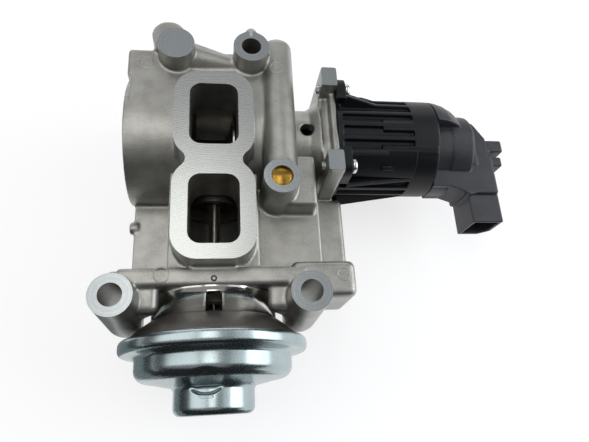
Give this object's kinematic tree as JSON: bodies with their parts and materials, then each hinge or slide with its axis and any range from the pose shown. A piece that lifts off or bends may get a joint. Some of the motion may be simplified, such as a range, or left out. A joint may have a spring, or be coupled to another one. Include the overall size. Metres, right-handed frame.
{
  "type": "exhaust gas recirculation valve",
  "caption": "Exhaust gas recirculation valve: die-cast housing with two gasket-face ports, a motor-driven double-poppet valve and a vacuum-driven bypass valve.",
  "frame": {"origin": "centre of the machined gasket face, midway between its two ports", "axes": "+Z out of the gasket face, +X towards the motor, -Y towards the vacuum actuator"},
  "size_m": [0.2002, 0.1716, 0.08],
  "materials": {
    "cast_aluminium": "fine cast skin, machined to bright metal on the faces",
    "stainless_steel": "turned",
    "plated_steel": "bright zinc plate",
    "dark_sheet_steel": "dull zinc plate",
    "turned_aluminium": "machined bright",
    "black_plastic": "moulded, slight sheen",
    "brass": "turned",
    "sintered_bronze": "sintered, oil filled",
    "copper": "enamelled wire and bars",
    "core_steel": "stacked sheets",
    "ferrite": "sintered ceramic magnet",
    "circuit_board": "lacquered board",
    "carbon": "pressed carbon",
    "seal_rubber": "moulded"
  },
  "bodies": {
    "valve_body": {"valve_housing": "cast_aluminium", "brass_plug": "brass", "outer_valve_seat": "stainless_steel", "inner_valve_seat": "stainless_steel", "stem_guide_bush": "sintered_bronze", "stem_seal": "seal_rubber", "stem_shield": "stainless_steel", "return_spring": "stainless_steel", "motor_case": "black_plastic", "case_seal_ring": "seal_rubber", "motor_screws": "plated_steel", "bearing_plate": "turned_aluminium", "front_bearing_outer": "stainless_steel", "bearing_balls": "stainless_steel", "yoke_tube": "dark_sheet_steel", "field_magnets": "ferrite", "rear_bush": "sintered_bronze", "brush_holder": "black_plastic", "brushes": "carbon", "sensor_board": "circuit_board", "sensor_cover": "black_plastic", "terminal_pins": "brass", "actuator_collar": "turned_aluminium", "collar_screws": "plated_steel", "diaphragm_case": "dark_sheet_steel", "actuator_cap": "plated_steel", "vacuum_nipple": "plated_steel", "diaphragm": "seal_rubber", "actuator_spring": "stainless_steel", "bypass_seat": "stainless_steel", "bypass_guide_bush": "sintered_bronze", "stem_scraper": "sintered_bronze"},
    "rotor": {"rotor_core": "core_steel", "rotor_windings": "copper", "commutator": "copper", "rotor_sleeve": "stainless_steel", "front_bearing_inner": "stainless_steel"},
    "main_valve": {"main_valve_stem": "stainless_steel", "outer_poppet": "stainless_steel", "inner_poppet": "stainless_steel", "spring_retainer": "plated_steel", "retainer_clip": "plated_steel", "lead_screw": "stainless_steel", "sensor_magnet": "ferrite"},
    "bypass_valve": {"bypass_stem": "stainless_steel", "bypass_poppet": "stainless_steel", "diaphragm_plate": "plated_steel"}
  },
  "joints": [
    {"name": "rotor_spin", "type": "hinge", "parent": "valve_body", "child": "rotor", "pos_m": [0.08, 0.02835, -0.0404], "axis": [1, 0, 0], "range_deg": [0, 360]},
    {"name": "main_valve_slide", "type": "slide", "parent": "valve_body", "child": "main_valve", "axis": [-1, 0, 0], "range_m": [0, 0.006], "stiffness_N_per_m": 1000, "springref_m": -0.006, "deforming": ["return_spring"]},
    {"name": "bypass_slide", "type": "slide", "parent": "valve_body", "child": "bypass_valve", "axis": [0, -1, 0], "range_m": [0, 0.008], "stiffness_N_per_m": 3000, "springref_m": -0.005, "deforming": ["actuator_spring", "diaphragm"]}
  ],
  "couplings": [
    {"joint": "rotor_spin", "follows": "main_valve_slide", "rad_per_m": 1047.2}
  ]
}
